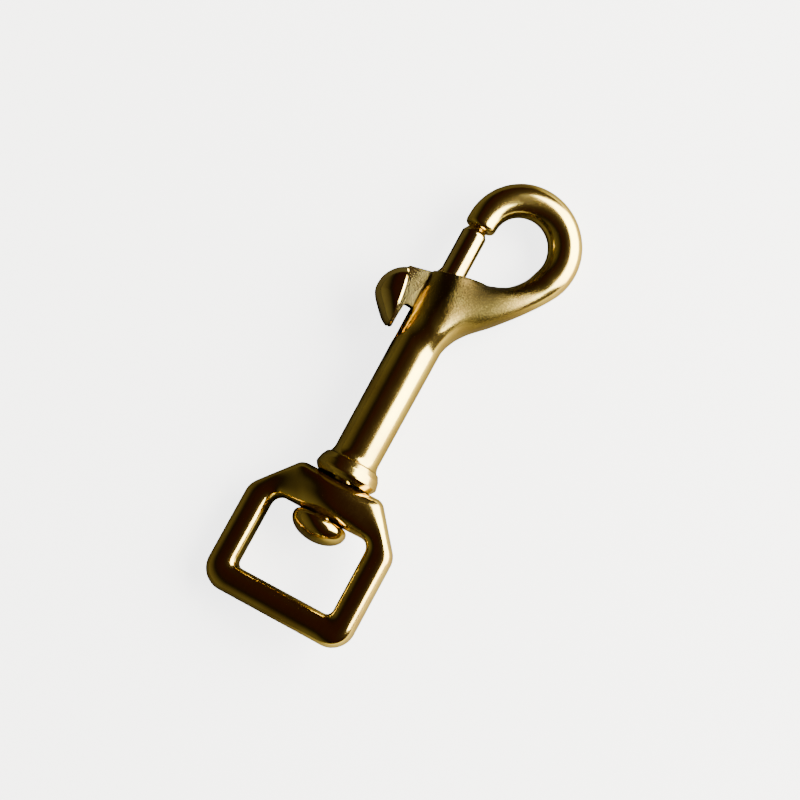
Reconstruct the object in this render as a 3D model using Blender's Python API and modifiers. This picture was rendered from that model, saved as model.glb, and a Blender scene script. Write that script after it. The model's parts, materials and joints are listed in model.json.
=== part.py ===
"""A swivel-eye bolt snap of cast brass, lying on a flat surface, in metres.

The snap is drawn in its own plane: the barrel's axis is Y, with the hook at +Y and the eye at -Y, the thumb
piece is on the -X side, and Y = 0 is the widest plane of the collar at the barrel's foot. Each moving group
then hangs on an empty on the barrel's axis. The hook rolls about that axis until its ring rests on the
surface, and the eye rolls the other way until one of its side bars does.
"""

import math

import bmesh
import bpy
from mathutils import Matrix, Vector

MM = 0.001

# Driving dimensions, in millimetres.
COLLAR_R = 7.8  # the collar at the barrel's foot, the lowest thing when the snap lies down
COLLAR_FOOT = 1.2  # from the collar's widest plane down to its flat lower face
COLLAR_LIP = 0.8  # the collar's straight side, above its widest plane
COLLAR_DRAW_IN = 0.9  # how much smaller the lower face is than the collar, in radius
FLARE_TOP = 4.8  # where the collar's flare meets the barrel
FLARE_BULGE = 1.6  # the power that the flare grows with on its way down
BARREL_R = 5.6  # the barrel just above the flare
MOUTH_R = 5.9  # the barrel at its mouth
MOUTH_Y = 53.4  # the mouth, on the barrel's axis
MOUTH_SLOPE = 12.0  # degrees; the mouth rises towards the hook

BOLT_R = 3.1
BOLT_X = -0.75  # the bolt's axis, set off towards the thumb piece
BOLT_TIP_TAPER = 2.2  # length of the tapered tip
BOLT_TIP_STEP = 1.0  # how much smaller the tip is than the bolt, in radius
BOLT_TAIL = 6.0  # how far the bolt goes on below the web
BOLT_TRAVEL = 7.0
SPIGOT_LENGTH = 3.0  # the short pin that centres the spring
EDGE = 0.3  # the broken edges of turned ends

WEB_DROP = 11.4  # from the mouth down to the web's lower edge, with the bolt closed
WEB_T = 2.9  # the web's thickness
WEB_TOP_DROP = 1.2  # from the mouth down to where the web's upper edge leaves the slot
WEB_INTO_PAD = 1.4  # how far the web reaches into the pad at its top
WEB_ROUND = 0.6  # the web's rounded outer corners
FILLET = 2.4  # between the web's upper edge and the bolt
PAD_OUT = 2.3  # the centre of the pad's outline, outside the barrel's side
PAD_RISE = 1.3  # the centre of the pad's outline, above the web's lower edge
PAD_R = 7.5  # the radius of the pad's outline
PAD_HALF_WIDTH = 5.6  # the pad's half width across the snap, at its centre
RIM_SHIFT = 1.75  # from the pad's centre to its back face
RIM_TILT = 9.5  # degrees; the back face leans towards the barrel's foot
THUMB_GAP = 1.9  # from the barrel to the pad's inner rib

NOSE_X = -0.4  # the hook's end, over the bolt
RING_RISE = 15.1  # from the mouth up to the ring's centre
RING_R = 11.0  # the ring's middle line
RING_T = 8.2  # the ring's thickness
NOSE_R = 3.8
NOSE_LENGTH = 1.7  # the straight end of the hook, past the ring's arc
NOSE_ROUND = 0.7  # how much smaller the nose's end face is, in radius
ARM_TURN = 40.0  # degrees that the ring goes on below its right side before the straight arm
ARM_ROOT_X = 2.2  # where the arm's middle line ends inside the barrel
NECK = [  # along the arm from the ring: share of the way, shift towards the mouth, radius
    (0.10, -0.7, 3.65), (0.25, -0.9, 3.8), (0.36, -0.5, 4.2), (0.45, 0.0, 4.7), (0.53, 0.6, 5.3),
    (0.65, 1.3, 5.75), (0.78, 1.5, 5.75), (0.88, 0.9, 5.4), (1.0, 0.0, 4.6),
]
SEAT_DEPTH = 0.6  # the bolt's tip goes this far into a recess in the nose

WINDOW_W = 25.4  # the eye's clear width, for 1 inch webbing
WINDOW_H = 19.1
BAR_W = 6.65  # the side bars and the crossbar
EYE_T = 7.0
BRIDGE_H = 9.7
TOP_HALF = 10.6  # half the width of the bridge's flat top
SHOULDER_DROP = 10.5  # from the flat top down to where the shoulders meet the sides
BAR_ROUND = 2.1  # the rounding of the bars' long edges
TOP_ROUND, SHOULDER_ROUND, BOTTOM_ROUND = 3.0, 5.0, 5.6  # the corners of the eye's outline
WINDOW_TOP_ROUND, WINDOW_LOW_ROUND = 2.6, 1.7  # the corners of the window
BOSS_R = 5.7  # half the depth of the bridge's thick middle, around the stud
BOSS_REACH = 14.5  # where the thick middle has run out into the shoulders

STUD_R = 2.6
STUD_PRESS = 9.2  # how far the stud goes into the foot
HEAD_R = 6.8
HEAD_H = 5.9
HEAD_ROUND = 1.6

SPRING_CLEARANCE = 0.6  # from the spring's coil to the bore around it, and to the spigot inside it
WIRE_R = 0.35
SPRING_TURNS = 11

GAP = 0.3  # between pieces that touch or turn on each other

# Worked out from the driving dimensions.
WEB_Y = MOUTH_Y - WEB_DROP
WEB_TOP = MOUTH_Y - WEB_TOP_DROP
PAD_X, PAD_Y = -BARREL_R - PAD_OUT, WEB_Y + PAD_RISE
RING_X, RING_Y = NOSE_X + RING_R, MOUTH_Y + RING_RISE
BOLT_TIP_R = BOLT_R - BOLT_TIP_STEP
EYE_TOP = -COLLAR_FOOT - GAP
WINDOW_TOP = EYE_TOP - BRIDGE_H
WINDOW_BOTTOM = WINDOW_TOP - WINDOW_H
EYE_BOTTOM = WINDOW_BOTTOM - BAR_W
NOSE_END = RING_Y - NOSE_LENGTH
TIP_Y = NOSE_END + SEAT_DEPTH - GAP
TAIL_Y = WEB_Y - BOLT_TAIL
SLOT_HALF = WEB_T / 2 + GAP
SLOT_END = WEB_Y - BOLT_TRAVEL - SLOT_HALF
BORE_R = BOLT_R + GAP
SPRING_R = BORE_R - SPRING_CLEARANCE - WIRE_R
SPIGOT_R = SPRING_R - WIRE_R - SPRING_CLEARANCE
BORE_FLOOR = STUD_PRESS - COLLAR_FOOT
BODY_ROLL = math.asin((COLLAR_R - RING_T / 2) / (RING_X + RING_R))
EYE_ROLL = -math.asin((COLLAR_R - EYE_T / 2) / (WINDOW_W / 2 + BAR_W - BAR_ROUND / 2))

ROUND_STEPS = 48
FLARE_STEPS = 6
RING_STEPS = 30
POINTS_PER_TURN = 14
DOME_STEPS = 8
OVERLAP = 1.0  # how far a cutter goes past what it cuts

parts = None
tools = None


def clear_scene():
    for old in list(bpy.data.objects):
        bpy.data.objects.remove(old, do_unlink=True)


def collection(name):
    made = bpy.data.collections.new(name)
    bpy.context.scene.collection.children.link(made)
    return made


def add_object(name, mesh, home):
    made = bpy.data.objects.new(name, mesh)
    home.objects.link(made)
    return made


def tool(made):
    """A cutter or a piece that is joined to another: kept out of the build."""
    made.hide_render = True
    made.display_type = "WIRE"
    return made


def turned(name, profile, home, axis_x=0.0):
    """Turns (radius, y) points about a line along Y. The points run down the outer side, top to bottom."""
    mesh = bpy.data.meshes.new(name)
    points = [(radius * MM, y * MM, 0.0) for radius, y in profile]
    mesh.from_pydata(points, [(i, i + 1) for i in range(len(points) - 1)], [])
    made = add_object(name, mesh, home)
    screw = made.modifiers.new("turn", "SCREW")
    screw.axis = "Y"
    screw.steps = screw.render_steps = ROUND_STEPS
    screw.use_merge_vertices = True
    screw.merge_threshold = 1e-6
    made.location.x = axis_x * MM
    return made


def frozen(source, home, flat_caps=False):
    """The evaluated object as a plain mesh, with its loose caps welded on. The source is removed.

    With flat_caps, the triangles of each flat cap are dissolved into large faces, which a Bevel needs.
    """
    bpy.context.view_layer.update()
    mesh = bpy.data.meshes.new_from_object(source.evaluated_get(bpy.context.evaluated_depsgraph_get()))
    work = bmesh.new()
    work.from_mesh(mesh)
    bmesh.ops.remove_doubles(work, verts=work.verts, dist=1e-6)
    if flat_caps:
        bmesh.ops.dissolve_limit(work, angle_limit=math.radians(0.5), verts=work.verts, edges=work.edges)
    work.to_mesh(mesh)
    work.free()
    made = add_object(source.name + "_solid", mesh, home)
    made.matrix_world = source.matrix_world
    bpy.data.objects.remove(source, do_unlink=True)
    return made


def plate(name, outlines, thickness, home):
    """A flat plate in the XY plane from closed outlines; an outline inside another is a hole."""
    curve = bpy.data.curves.new(name, "CURVE")
    curve.dimensions = "2D"
    curve.fill_mode = "BOTH"
    curve.extrude = thickness * MM / 2
    for outline in outlines:
        spline = curve.splines.new("POLY")
        spline.points.add(len(outline) - 1)
        for point, (x, y) in zip(spline.points, outline):
            point.co = (x * MM, y * MM, 0.0, 1.0)
        spline.use_cyclic_u = True
    return frozen(add_object(name, curve, home), home, flat_caps=True)


def rounded(corners, steps=6):
    """A closed outline from (x, y, radius) corners, each corner turned as an arc of its radius."""
    outline = []
    for i, (x, y, radius) in enumerate(corners):
        here = Vector((x, y))
        back = (Vector(corners[i - 1][:2]) - here).normalized()
        ahead = (Vector(corners[(i + 1) % len(corners)][:2]) - here).normalized()
        half = back.angle(ahead) / 2
        if radius == 0 or half > math.radians(89):
            outline.append((x, y))
            continue
        centre = here + (back + ahead).normalized() * radius / math.sin(half)
        start = here + back * radius / math.tan(half) - centre
        finish = here + ahead * radius / math.tan(half) - centre
        sweep = start.angle_signed(finish)
        for k in range(steps + 1):
            outline.append(tuple(centre + Matrix.Rotation(-sweep * k / steps, 2) @ start))
    return outline


def arc(cx, cy, radius, start, finish, steps):
    """Points on an arc, from the start angle to the finish angle in degrees."""
    angles = [math.radians(start + (finish - start) * k / steps) for k in range(steps + 1)]
    return [(cx + radius * math.cos(a), cy + radius * math.sin(a)) for a in angles]


def combine(target, other, operation):
    cut = target.modifiers.new(operation.lower() + "_" + other.name, "BOOLEAN")
    cut.operation = operation
    cut.object = other


def smooth(made, angle=35.0):
    made.data.shade_smooth()
    made.data.set_sharp_from_angle(angle=math.radians(angle))


def material(made, name, colour, roughness):
    finish = bpy.data.materials.new(name)
    finish.use_nodes = True
    shader = finish.node_tree.nodes["Principled BSDF"]
    shader.inputs["Base Color"].default_value = (*colour, 1.0)
    shader.inputs["Metallic"].default_value = 1.0
    shader.inputs["Roughness"].default_value = roughness
    made.data.materials.clear()
    made.data.materials.append(finish)


def barrel_radius(y):
    """The barrel's outside swells evenly from the flare to the mouth."""
    share = (y - FLARE_TOP) / (MOUTH_Y - FLARE_TOP)
    return BARREL_R + (MOUTH_R - BARREL_R) * share


def barrel():
    """The turned barrel with its collar and the stud's hole, left long at the mouth for the sloping cut."""
    top = MOUTH_Y + MOUTH_R * math.tan(math.radians(MOUTH_SLOPE)) + GAP
    profile = [(0.0, top), (barrel_radius(top), top), (barrel_radius(MOUTH_Y / 2), MOUTH_Y / 2)]
    for k in range(FLARE_STEPS + 1):
        share = k / FLARE_STEPS
        y = FLARE_TOP + (COLLAR_LIP - FLARE_TOP) * share
        profile.append((BARREL_R + (COLLAR_R - BARREL_R) * share ** FLARE_BULGE, y))
    profile += [(COLLAR_R, 0.0), (COLLAR_R - COLLAR_DRAW_IN / 3, -COLLAR_FOOT / 2)]
    profile.append((COLLAR_R - COLLAR_DRAW_IN, -COLLAR_FOOT))
    press, hole_top = STUD_R + GAP, BORE_FLOOR + OVERLAP
    profile += [(press, -COLLAR_FOOT), (press, hole_top), (0.0, hole_top)]
    return turned("hook_body", profile, parts)


def arm_path():
    """Points and radii along the hook's middle line, from the nose round the ring into the barrel."""
    path = [(NOSE_X, NOSE_END, NOSE_R - NOSE_ROUND)]
    path.append((NOSE_X, NOSE_END + NOSE_ROUND * 0.35, NOSE_R - NOSE_ROUND * 0.3))
    path.append((NOSE_X, NOSE_END + NOSE_ROUND, NOSE_R))
    ring = arc(RING_X, RING_Y, RING_R, 180.0, -ARM_TURN, RING_STEPS)
    for k, (x, y) in enumerate(ring):
        share = min(1.0, 3 * k / RING_STEPS)
        path.append((x, y, NOSE_R + (RING_T / 2 - NOSE_R) * share))
    x0, y0 = ring[-1]
    turn = math.radians(ARM_TURN)
    run = (x0 - ARM_ROOT_X) / math.sin(turn)
    for share, shift, radius in NECK:
        along = run * share
        x = x0 - along * math.sin(turn) - shift * math.cos(turn)
        y = y0 - along * math.cos(turn) + shift * math.sin(turn)
        path.append((x, y, radius))
    return path


def arm():
    """The hook as a round bar along its middle line."""
    curve = bpy.data.curves.new("arm", "CURVE")
    curve.dimensions = "3D"
    curve.twist_mode = "Z_UP"
    curve.bevel_depth = MM
    curve.bevel_resolution = 8
    curve.use_fill_caps = True
    path = arm_path()
    spline = curve.splines.new("POLY")
    spline.points.add(len(path) - 1)
    for point, (x, y, radius) in zip(spline.points, path):
        point.co = (x * MM, y * MM, 0.0, 1.0)
        point.radius = radius
    return tool(frozen(add_object("arm", curve, tools), tools))


def box_tool(name, low, high):
    """A plain box cutter between two corners."""
    work = bmesh.new()
    bmesh.ops.create_cube(work, size=1.0)
    size = [(b - a) * MM for a, b in zip(low, high)]
    middle = [(b + a) * MM / 2 for a, b in zip(low, high)]
    bmesh.ops.scale(work, vec=size, verts=work.verts)
    bmesh.ops.translate(work, vec=middle, verts=work.verts)
    mesh = bpy.data.meshes.new(name)
    work.to_mesh(mesh)
    work.free()
    return tool(add_object(name, mesh, tools))


def mouth_cutter():
    """Everything above the sloping mouth on the barrel, clear of the hook's own arm."""
    reach = MOUTH_R + 2 * OVERLAP
    cutter = box_tool("mouth_cut", (-reach, 0.0, -reach), (reach, reach, reach))
    cutter.rotation_euler.z = math.radians(MOUTH_SLOPE)
    cutter.location.y = MOUTH_Y * MM
    return cutter


def slot_cutter():
    """The slot for the web: through the thumb side's wall, from its round end to past the mouth."""
    inner, outer = -BOLT_X, COLLAR_R + OVERLAP
    top = MOUTH_Y + 3 * OVERLAP
    outline = arc(0.0, SLOT_END + SLOT_HALF, SLOT_HALF, -180.0, 0.0, 12)
    outline += [(SLOT_HALF, top), (-SLOT_HALF, top)]
    cutter = tool(plate("slot", [outline], outer - inner, tools))
    cutter.rotation_euler.y = math.radians(90)
    cutter.location.x = -(outer + inner) / 2 * MM
    return cutter


def hook_body():
    body = barrel()
    combine(body, mouth_cutter(), "DIFFERENCE")
    combine(body, arm(), "UNION")
    below, seat_top, seat_r = NOSE_END - OVERLAP, NOSE_END + SEAT_DEPTH, BOLT_TIP_R + GAP
    bore = turned("bore_cut", [(0.0, below), (BORE_R, below), (BORE_R, BORE_FLOOR), (0.0, BORE_FLOOR)],
                  tools, BOLT_X)
    seat = turned("seat_cut", [(0.0, seat_top), (seat_r, seat_top), (seat_r + GAP, below), (0.0, below)],
                  tools, BOLT_X)
    for cutter in (tool(seat), tool(bore), slot_cutter()):
        combine(body, cutter, "DIFFERENCE")
    smooth(body)
    material(body, "cast_brass", (0.80, 0.58, 0.24), 0.22)
    return body


def web_outline():
    """The thumb piece's flat web: from the bolt out through the slot, and down behind the pad as a rib."""
    rib_x = -barrel_radius(WEB_Y) - THUMB_GAP
    rib_foot = PAD_Y - PAD_R + WEB_ROUND
    rim_x = PAD_X - RIM_SHIFT
    bolt_side = BOLT_X - BOLT_R
    rib_width = WEB_ROUND + math.tan(math.radians(RIM_TILT))
    return rounded([
        (BOLT_X, WEB_Y, 0.0),
        (BOLT_X, WEB_TOP + FILLET, 0.0),
        (bolt_side + EDGE, WEB_TOP + FILLET, 0.0),
        (bolt_side - FILLET / 3, WEB_TOP, FILLET),
        (rim_x - WEB_INTO_PAD, PAD_Y + PAD_R - EDGE, WEB_ROUND),
        (rim_x - WEB_INTO_PAD / 2, PAD_Y, 0.0),
        (rib_x - rib_width, rib_foot, EDGE),
        (rib_x, rib_foot, EDGE),
        (rib_x, WEB_Y, WEB_ROUND),
    ])


def pad():
    """The domed pad: the outer slice of a flattened ball, cut off by its leaning back face."""
    work = bmesh.new()
    bmesh.ops.create_uvsphere(work, u_segments=40, v_segments=24, radius=PAD_R * MM)
    bmesh.ops.scale(work, vec=(1.0, 1.0, PAD_HALF_WIDTH / PAD_R), verts=work.verts)
    mesh = bpy.data.meshes.new("pad")
    work.to_mesh(mesh)
    work.free()
    made = tool(add_object("pad", mesh, tools))
    made.location = (PAD_X * MM, PAD_Y * MM, 0.0)
    far = PAD_R + OVERLAP
    cutter = box_tool("pad_back", (-RIM_SHIFT, -far, -far), (far, far, far))
    cutter.location = made.location
    cutter.rotation_euler.z = math.radians(RIM_TILT)
    combine(made, cutter, "DIFFERENCE")
    return made


def bolt():
    end = TAIL_Y - SPIGOT_LENGTH
    profile = [(0.0, TIP_Y), (BOLT_TIP_R - EDGE, TIP_Y), (BOLT_TIP_R, TIP_Y - EDGE)]
    profile += [(BOLT_R, TIP_Y - BOLT_TIP_TAPER), (BOLT_R, TAIL_Y + EDGE), (BOLT_R - EDGE, TAIL_Y)]
    profile += [(SPIGOT_R, TAIL_Y), (SPIGOT_R, end + EDGE), (SPIGOT_R - EDGE, end), (0.0, end)]
    made = turned("bolt", profile, parts, BOLT_X)
    combine(made, tool(plate("web", [web_outline()], WEB_T, tools)), "UNION")
    combine(made, pad(), "UNION")
    smooth(made)
    material(made, "polished_brass", (0.84, 0.64, 0.30), 0.15)
    return made


def spring():
    """A plain coil from the bore's floor to the bolt's tail."""
    curve = bpy.data.curves.new("bolt_spring", "CURVE")
    curve.dimensions = "3D"
    curve.bevel_depth = WIRE_R * MM
    curve.bevel_resolution = 2
    curve.use_fill_caps = True
    start = BORE_FLOOR + GAP + WIRE_R
    finish = TAIL_Y - GAP - WIRE_R
    count = SPRING_TURNS * POINTS_PER_TURN
    spline = curve.splines.new("POLY")
    spline.points.add(count)
    for k, point in enumerate(spline.points):
        turn = 2 * math.pi * SPRING_TURNS * k / count
        y = start + (finish - start) * k / count
        point.co = ((BOLT_X + SPRING_R * math.cos(turn)) * MM, y * MM, SPRING_R * math.sin(turn) * MM, 1.0)
    made = frozen(add_object("spring_wire", curve, parts), parts)
    made.name = "bolt_spring"
    smooth(made, 60.0)
    material(made, "spring_steel", (0.62, 0.62, 0.64), 0.35)
    return made


def eye_outline():
    side = WINDOW_W / 2 + BAR_W
    shoulder = EYE_TOP - SHOULDER_DROP
    return rounded([
        (-TOP_HALF, EYE_TOP, TOP_ROUND), (-side, shoulder, SHOULDER_ROUND), (-side, EYE_BOTTOM, BOTTOM_ROUND),
        (side, EYE_BOTTOM, BOTTOM_ROUND), (side, shoulder, SHOULDER_ROUND), (TOP_HALF, EYE_TOP, TOP_ROUND),
    ])


def window_outline():
    half = WINDOW_W / 2
    return rounded([
        (-half, WINDOW_TOP, WINDOW_TOP_ROUND), (-half, WINDOW_BOTTOM, WINDOW_LOW_ROUND),
        (half, WINDOW_BOTTOM, WINDOW_LOW_ROUND), (half, WINDOW_TOP, WINDOW_TOP_ROUND),
    ])


def reach(outline, centre, angle):
    """The distance from the centre to a closed outline, along one direction."""
    way = Vector((math.cos(angle), math.sin(angle)))
    for i, point in enumerate(outline):
        a = Vector(outline[i - 1]) - centre
        b = Vector(point) - centre
        side_a, side_b = way.cross(a), way.cross(b)
        if side_a * side_b <= 0 and side_a != side_b:
            hit = a.lerp(b, side_a / (side_a - side_b))
            if hit.dot(way) > 0:
                return hit.length


def half_depth(x, y):
    """Half the eye's depth: that of its bars, swelling over the middle of the bridge."""
    swell = 0.0
    if y > WINDOW_TOP - EDGE and abs(x) < BOSS_REACH:
        swell = math.cos(math.pi / 2 * abs(x) / BOSS_REACH) ** 2
    return EYE_T / 2 + (BOSS_R - EYE_T / 2) * swell


def bar_section():
    """A rounded rectangle as (across, up) shares from -1 to 1: the section of the bars."""
    round_across = 2 * BAR_ROUND / BAR_W
    round_up = 2 * BAR_ROUND / EYE_T
    section = []
    for k, (right, up) in enumerate(((1, 1), (-1, 1), (-1, -1), (1, -1))):
        for turn_x, turn_y in arc(0.0, 0.0, 1.0, 90.0 * k, 90.0 * k + 90.0, 4):
            across = right * (1 - round_across) + turn_x * round_across
            section.append((across, up * (1 - round_up) + turn_y * round_up))
    return section


def eye():
    """A loft round the eye: each station fills the way from the window to the outside."""
    centre = Vector((0.0, (WINDOW_TOP + WINDOW_BOTTOM) / 2))
    inner, outer = window_outline(), eye_outline()
    corners = {round(math.atan2(y - centre.y, x - centre.x), 4) for x, y in inner + outer}
    bridge = {round(math.radians(90 + a), 4) for a in range(-45, 46, 9)}
    angles = sorted(corners | bridge)
    section = bar_section()
    work = bmesh.new()
    rings = []
    for angle in angles:
        way = Vector((math.cos(angle), math.sin(angle)))
        near, far = (centre + way * reach(outline, centre, angle) for outline in (inner, outer))
        ring = []
        for across, up in section:
            point = near.lerp(far, (1 + across) / 2)
            ring.append(work.verts.new((point.x * MM, point.y * MM, up * half_depth(point.x, point.y) * MM)))
        rings.append(ring)
    for i, ring in enumerate(rings):
        back = rings[i - 1]
        for k in range(len(section)):
            work.faces.new((back[k - 1], ring[k - 1], ring[k], back[k]))
    mesh = bpy.data.meshes.new("swivel_eye")
    work.to_mesh(mesh)
    work.free()
    made = add_object("swivel_eye", mesh, parts)
    hole_r, top, bottom = STUD_R + GAP, EYE_TOP + OVERLAP, WINDOW_TOP - OVERLAP
    hole = turned("eye_hole", [(0.0, top), (hole_r, top), (hole_r, bottom), (0.0, bottom)], tools)
    combine(made, tool(hole), "DIFFERENCE")
    smooth(made)
    material(made, "cast_brass_eye", (0.78, 0.56, 0.24), 0.22)
    return made


def stud():
    """The swivel stud: its domed head under the bridge, its shank through the bridge into the foot."""
    head_top = WINDOW_TOP - GAP
    rim_y = head_top - HEAD_ROUND
    profile = [(0.0, BORE_FLOOR), (STUD_R - EDGE, BORE_FLOOR), (STUD_R, BORE_FLOOR - EDGE)]
    profile.append((STUD_R, head_top))
    profile += arc(HEAD_R - HEAD_ROUND, rim_y, HEAD_ROUND, 90.0, 0.0, 3)
    for x, y in arc(0.0, 0.0, 1.0, 0.0, -90.0, DOME_STEPS)[1:-1]:
        profile.append((HEAD_R * x, rim_y + (HEAD_H - HEAD_ROUND) * y))
    profile.append((0.0, head_top - HEAD_H))
    made = turned("swivel_stud", profile, parts)
    smooth(made)
    material(made, "turned_brass", (0.82, 0.60, 0.26), 0.2)
    return made


def axis_empty(name, roll):
    """An empty on the barrel's axis, rolled about it."""
    made = bpy.data.objects.new(name, None)
    parts.objects.link(made)
    made.location = (0.0, 0.0, COLLAR_R * MM)
    made.rotation_euler.y = roll
    return made


def box_of(objects):
    """The lowest and highest corners of the evaluated objects, in the world."""
    graph = bpy.context.evaluated_depsgraph_get()
    corners = []
    for made in objects:
        mesh = made.evaluated_get(graph).to_mesh()
        corners += [made.matrix_world @ v.co for v in mesh.vertices]
        made.evaluated_get(graph).to_mesh_clear()
    return [Vector(f(c[i] for c in corners) for i in range(3)) for f in (min, max)]


def main():
    global parts, tools
    clear_scene()
    parts = collection("bolt_snap")
    tools = collection("cutters")
    body_group = [hook_body(), bolt(), spring(), stud()]
    eye_group = [eye()]
    body_axis = axis_empty("hook_axis", BODY_ROLL)
    eye_axis = axis_empty("eye_axis", EYE_ROLL)
    for made in body_group + list(tools.objects):
        made.parent = body_axis
    for made in eye_group + [bpy.data.objects["eye_hole"]]:
        made.parent = eye_axis
    bpy.context.view_layer.update()
    low, high = box_of(body_group + eye_group)
    for axis in (body_axis, eye_axis):
        axis.location -= Vector(((low.x + high.x) / 2, (low.y + high.y) / 2, low.z))


main()
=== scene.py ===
# %% [markdown]
# # A brass bolt snap, worked out as surfaces
#
# The object is a swivel-eye bolt snap: a cast hook with a hollow barrel, a spring bolt with a thumb piece that
# closes the hook, and a square eye for webbing that turns on a stud in the barrel's foot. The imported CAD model
# is the frame: it says where each piece is and what it moves with. This script makes the finished surfaces
# around it. Every piece is drawn in the snap's own plane, in millimetres, and placed in the frame at the end.

# %% Load the frame and keep its box
import json
import math

import bpy
import numpy as np
from mathutils import Matrix, Vector


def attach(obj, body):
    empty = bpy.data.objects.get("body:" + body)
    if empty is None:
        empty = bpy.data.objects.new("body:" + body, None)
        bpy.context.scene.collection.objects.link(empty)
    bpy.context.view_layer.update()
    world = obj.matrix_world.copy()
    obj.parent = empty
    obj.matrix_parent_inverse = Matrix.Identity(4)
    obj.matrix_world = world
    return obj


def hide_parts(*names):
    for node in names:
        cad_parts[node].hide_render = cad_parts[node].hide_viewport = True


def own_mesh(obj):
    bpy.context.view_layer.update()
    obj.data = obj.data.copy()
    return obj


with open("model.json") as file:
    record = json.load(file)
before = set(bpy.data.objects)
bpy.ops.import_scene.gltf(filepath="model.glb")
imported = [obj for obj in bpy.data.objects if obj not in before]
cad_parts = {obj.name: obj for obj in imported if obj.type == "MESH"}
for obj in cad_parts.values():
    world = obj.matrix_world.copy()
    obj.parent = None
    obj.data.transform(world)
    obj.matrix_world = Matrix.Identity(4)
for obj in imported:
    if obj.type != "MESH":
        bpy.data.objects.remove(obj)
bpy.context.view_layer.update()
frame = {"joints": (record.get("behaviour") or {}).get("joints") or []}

# %% [markdown]
# ## The snap's own plane
#
# On the drawing board the barrel's axis is Y, the hook is at +Y, the eye at -Y, and the thumb piece on the -X
# side. Y = 0 is the widest plane of the collar at the barrel's foot. These are the sizes that the CAD model has
# too, in millimetres. They are written once here, so that two pieces that fit read the same value.

# %% The sizes that pieces share
MM = 0.001
COLLAR_R = 7.8
COLLAR_FOOT = 1.2
BARREL_R = 5.6
MOUTH_R = 5.9
MOUTH_Y = 53.4
MOUTH_SLOPE = math.radians(12.0)
BOLT_R = 3.1
BOLT_X = -0.75
TIP_R = 2.1
WEB_Y = 42.0
WEB_T = 2.9
RING_X, RING_Y = 10.6, 68.5
RING_R = 11.0
RING_T = 8.2
NOSE_R = 3.8
NOSE_END = RING_Y - 1.7
WINDOW_W = 25.4
WINDOW_H = 19.1
BAR_W = 6.65
EYE_T = 7.0
BAR_ROUND = 2.1
STUD_R = 2.6
GAP = 0.3
EYE_TOP = -COLLAR_FOOT - GAP
WINDOW_TOP = EYE_TOP - 9.7
WINDOW_BOTTOM = WINDOW_TOP - WINDOW_H
EYE_BOTTOM = WINDOW_BOTTOM - BAR_W
print("from the eye's bottom to the hook's top:", round(RING_Y + RING_R + RING_T / 2 - EYE_BOTTOM, 1), "mm")

# %% [markdown]
# ## How the snap lies
#
# A snap that is laid on a table doesn't lie flat. It rests on the collar, which is its thickest part, and rolls
# about the barrel's axis until the hook's ring touches. The eye turns freely on its stud, so it rolls the other
# way until one side bar touches. Both rolls follow from the sizes: the height that is left under the ring or the
# bar, over its distance from the axis, is the sine of the roll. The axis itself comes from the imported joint.

# %% Find the axis and the two rolls
swivel = next(joint for joint in frame["joints"] if joint["name"] == "eye_swivel")
AXIS = np.array(swivel["pos_m"])
HOOK_ROLL = math.asin((COLLAR_R - RING_T / 2) / (RING_X + RING_R))
EYE_ROLL = -math.asin((COLLAR_R - EYE_T / 2) / (WINDOW_W / 2 + BAR_W - BAR_ROUND / 2))
print("the hook rolls", round(math.degrees(HOOK_ROLL), 1), "degrees")
print("the eye rolls", round(math.degrees(EYE_ROLL), 1), "degrees")


def placed(points, roll):
    """Rows of (x, y, z) in the snap's plane, in mm, turned about the barrel's axis and moved to the frame, in m.

    x' = x cos(roll) + z sin(roll), z' = z cos(roll) - x sin(roll), and y stays.
    """
    x, y, z = points.T * MM
    across = x * math.cos(roll) + z * math.sin(roll)
    up = z * math.cos(roll) - x * math.sin(roll)
    turned = np.stack([across, y, up], axis=1)
    return turned + AXIS


# %% [markdown]
# ## From a grid of points to a closed skin
#
# Nearly every surface here is a grid: rows along a path or a profile, columns round a section. The same few
# lines turn any such grid into a mesh, without a loop over its points: whole arrays of indices are shifted by
# one and stacked as quads. The ends are closed with a fan, and the signed volume shows whether the faces point
# out, because a turned or mirrored grid can come out inside out.

# %% A closed mesh from a grid
def skin(name, grid, ring=False):
    """A grid (rows, columns, 3) as a closed mesh object. Columns wrap round; rows wrap too when ring is True.

    Otherwise each end row is closed by triangles to its middle point. The volume is the sum over the triangles
    of a . (b x c) / 6, and where it is negative all faces are reversed.
    """
    rows, columns = grid.shape[:2]
    index = np.arange(rows * columns).reshape(rows, columns)
    here = index if ring else index[:-1]
    ahead = np.roll(index, -1, axis=0) if ring else index[1:]
    quads = np.stack([here, np.roll(here, -1, 1), np.roll(ahead, -1, 1), ahead], axis=-1).reshape(-1, 4)
    points = grid.reshape(-1, 3)
    fans = np.empty((0, 3), int)
    if not ring:
        points = np.vstack([points, grid[[0, -1]].mean(axis=1)])
        first = np.stack([np.roll(index[0], -1), index[0], np.full(columns, index.size)], axis=-1)
        last = np.stack([index[-1], np.roll(index[-1], -1), np.full(columns, index.size + 1)], axis=-1)
        fans = np.vstack([first, last])
    corners = np.vstack([quads[:, :3], quads[:, [0, 2, 3]], fans])
    a, b, c = (points[corners[:, k]] for k in range(3))
    if np.einsum("ij,ij->i", a, np.cross(b, c)).sum() < 0:
        quads, fans = quads[:, ::-1], fans[:, ::-1]
    mesh = bpy.data.meshes.new(name)
    mesh.from_pydata(points.tolist(), [], quads.tolist() + fans.tolist())
    made = bpy.data.objects.new(name, mesh)
    bpy.context.scene.collection.objects.link(made)
    return made


# %% A turned surface
ROUND_STEPS = 128


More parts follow.
